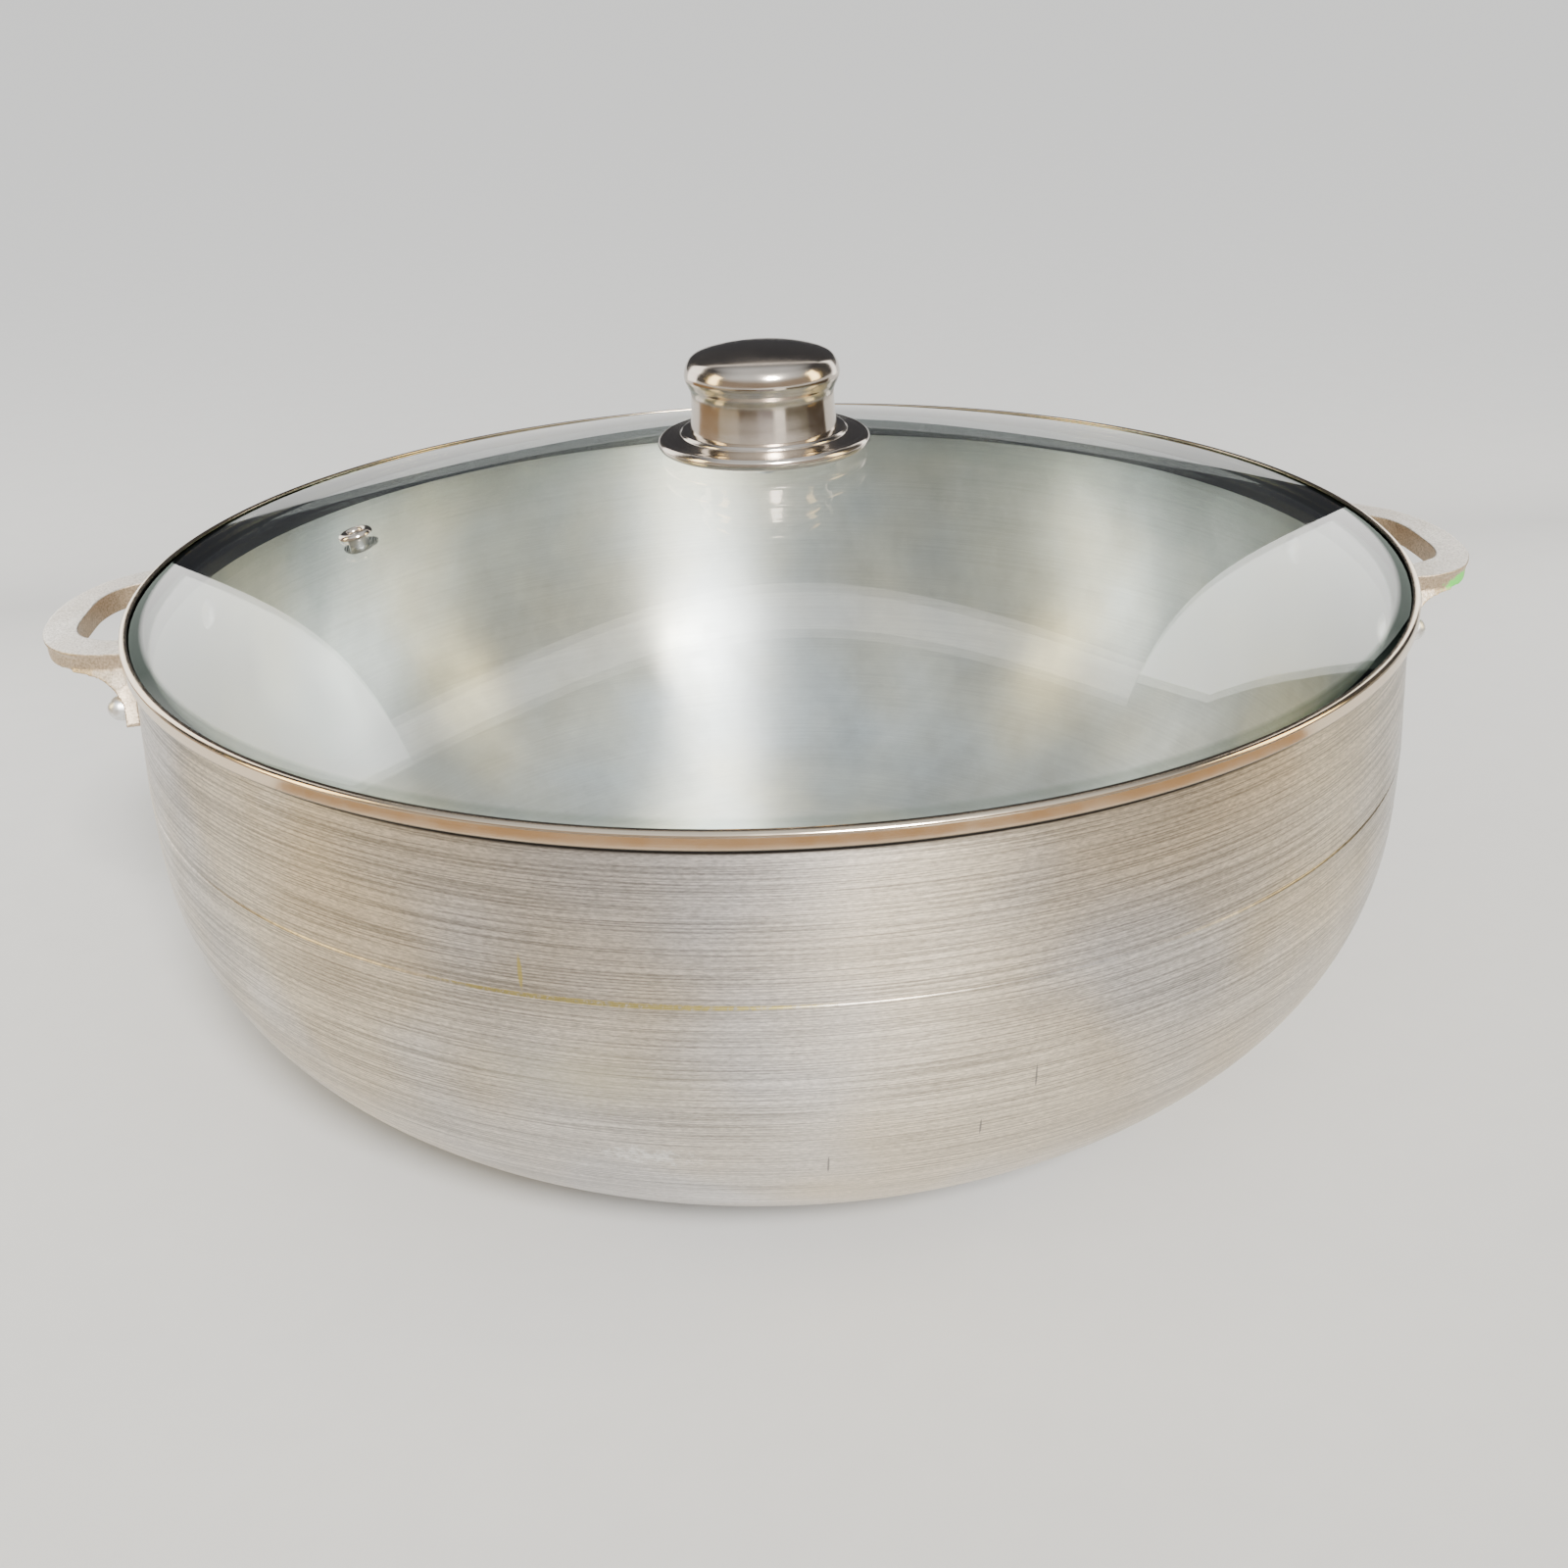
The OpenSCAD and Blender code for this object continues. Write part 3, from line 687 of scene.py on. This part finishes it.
def make_pieces():
    """The finer pieces, and materials for the CAD nodes that stay."""
    knob_steel = bright_steel("flange_steel", (0.64, 0.565, 0.49, 1), 0.13, 0.004 * MM)
    make_pot()
    make_handle("left", cast_aluminium("cast_left"))
    make_handle("right", cast_aluminium("cast_right", smear_at=SMEAR_AT))
    make_band()
    make_glass()
    make_eyelet(knob_steel)
    make_knob_cap()
    make_flange(knob_steel)
    rivets = rivet_metal()
    dress("handle_rivets_left", rivets)
    dress("handle_rivets_right", rivets)
    silicone = soft_pad("silicone_pad", (0.72, 0.72, 0.70, 1), 0.5)
    dress("knob_upper_gasket", silicone)
    dress("knob_lower_gasket", silicone)
    dress("knob_core", soft_pad("phenolic_core", (0.03, 0.03, 0.032, 1), 0.35))
    dress("knob_insert", machined_metal("brass_insert", (0.78, 0.57, 0.25, 1), 0.3))
    dress("knob_screw", machined_metal("screw_steel", (0.62, 0.62, 0.63, 1), 0.3))
    washer = machined_metal("washer_steel", (0.74, 0.73, 0.72, 1), 0.25)
    dress("knob_screw_washer", washer)
    dress("vent_washer", washer)


# --- Stage, light and camera ---

def staged(name, corners, material, seen=True):
    """A flat sheet that isn't part of the object: the floor, or a card that only lights it."""
    mesh = bpy.data.meshes.new(name)
    mesh.from_pydata(corners, [], [range(len(corners))])
    mesh.materials.append(material)
    sheet = bpy.data.objects.new(name, mesh)
    bpy.context.scene.collection.objects.link(sheet)
    sheet.visible_camera = seen
    sheet.visible_shadow = seen


def upright_card(name, ends, heights, material):
    """A card that stands between two places on the floor plan, and lights without being seen."""
    (x0, y0), (x1, y1) = ends
    low, high = heights
    corners = [(x0, y0, low), (x1, y1, low), (x1, y1, high), (x0, y0, high)]
    staged(name, corners, material, False)


def ring_card(name, start, end, near, far, material):
    """A flat card just over the floor: part of a ring round the pot. Angle 0 is the front."""
    angles = [radians(start + (end - start) * k / 8 - 90) for k in range(9)]
    corners = [(near * cos(a), near * sin(a), 2 * MM) for a in angles]
    corners += [(far * cos(a), far * sin(a), 2 * MM) for a in reversed(angles)]
    staged(name, corners, material, False)


def make_stage():
    """A pale floor, and the cards that the metal and the glass mirror."""
    far = 30
    staged("floor", [(-far, -far, 0), (far, -far, 0), (far, far, 0), (-far, far, 0)], pale_floor())
    # white cards behind the pot on both sides and a strip above: the lid mirrors them
    back_y, side_x, card_low = 0.43, 0.95, 0.12
    left_x, right_x, strip_low, strip_high = -0.346, 0.407, 0.655, 0.735
    white = glow("white_card", (1.0, 0.99, 0.955, 1), 3.2)
    strip = glow("strip_card", (1.0, 0.97, 0.93, 1), 1.7)
    upright_card("card_left", [(-side_x, back_y), (left_x, back_y)], (card_low, strip_high), white)
    outline = [(right_x, card_low), (right_x, 0.68), (0.473, 0.67), (0.503, 0.595),
               (0.72, card_low)]
    staged("card_right", [(x, back_y, z) for x, z in outline], white, False)
    ends = [(left_x, back_y), (right_x, back_y)]
    upright_card("card_strip", ends, (strip_low, strip_high), strip)
    # warm cards at the sides, a little in front of the pot's middle
    warm = glow("warm_card", (1.0, 0.80, 0.40, 1), 8.0)
    for name, x in (("wing_left", -side_x), ("wing_right", side_x)):
        upright_card(name, [(x, -0.02), (x, -0.30)], (0.25, 0.85), warm)
    # coloured cards over the floor in front and to the sides, unseen: the steel mirrors them
    gold = glow("gold_card", (1.0, 0.66, 0.36, 1), 0.62)
    mats = [("gold", -125, -78, (1.0, 0.66, 0.36, 1), 0.42),
            ("cream", -78, -43, (1.0, 0.88, 0.66, 1), 0.62),
            ("brown", -43, -13, (0.62, 0.47, 0.34, 1), 0.30),
            ("lavender", -13, 13, (0.80, 0.74, 0.78, 1), 0.52),
            ("white", 13, 30, (1.0, 0.98, 0.93, 1), 1.9),
            ("olive", 30, 70, (0.62, 0.56, 0.42, 1), 0.30),
            ("umber", 70, 110, (0.36, 0.27, 0.20, 1), 0.22)]
    for name, start, end, colour, strength in mats:
        ring_card("mat_" + name, start, end, 0.66, 2.2, glow("mat_" + name, colour, strength))
    ring_card("mat_front", -75, 75, 0.42, 0.60, gold)


def light_stage():
    """A broad soft sun from the front, and a room that is dark at the back."""
    sun = bpy.data.lights.new("sun", "SUN")
    sun.energy = 8.0
    sun.angle = radians(15)
    sun.color = (1.0, 0.98, 0.95)
    holder = bpy.data.objects.new("sun", sun)
    bpy.context.scene.collection.objects.link(holder)
    # the glass lets the sun through but doesn't mirror it, which would make a hard white disc
    unlit = bpy.data.collections.new("unlit")
    unlit.objects.link(bpy.data.objects["lid_pane"])
    unlit.collection_objects[0].light_linking.link_state = "EXCLUDE"
    holder.light_linking.receiver_collection = unlit
    azimuth, height = radians(-76), radians(40)
    toward = Vector((cos(azimuth) * cos(height), sin(azimuth) * cos(height), sin(height)))
    holder.rotation_euler = toward.to_track_quat("Z", "Y").to_euler()
    world = bpy.data.worlds.new("studio")
    world.use_nodes = True
    bpy.context.scene.world = world
    tree = world.node_tree
    way = node(tree, "TexCoord").outputs["Generated"]
    parts = node(tree, "SeparateXYZ", {0: way})
    front = span(tree, parts.outputs[1], 0.15, -0.5)
    raised = span(tree, parts.outputs[2], 0.30, 0.62)
    zenith = span(tree, parts.outputs[2], 0.72, 0.95)
    ahead = mixed(tree, raised, (0.44, 0.36, 0.29, 1), (1.05, 1.12, 1.18, 1))
    tone = mixed(tree, front, (0.068, 0.070, 0.078, 1), ahead)
    tone = mixed(tree, zenith, tone, (0.86, 0.92, 0.98, 1))
    tree.links.new(tone, tree.nodes["Background"].inputs["Color"])


def make_camera():
    """A view from in front of the pot and above it, a little left of its middle."""
    at = Vector((-36.34, -547.49, 327.28)) * MM
    heading, down, roll = radians(85.95), radians(25.52), radians(-2.01)
    ahead = Vector((cos(heading) * cos(down), sin(heading) * cos(down), -sin(down)))
    level = Vector((sin(heading), -cos(heading), 0))
    upright = level.cross(ahead)
    right = level * cos(roll) + upright * sin(roll)
    above = upright * cos(roll) - level * sin(roll)
    lens = bpy.data.cameras.new("view")
    lens.lens = 40.68
    lens.sensor_width = 36
    lens.clip_start = 0.01
    view = bpy.data.objects.new("view", lens)
    turn = Matrix((right, above, -ahead)).transposed().to_4x4()
    view.matrix_world = Matrix.Translation(at) @ turn
    bpy.context.scene.collection.objects.link(view)
    bpy.context.scene.camera = view


make_camera()
make_pieces()
make_stage()
light_stage()
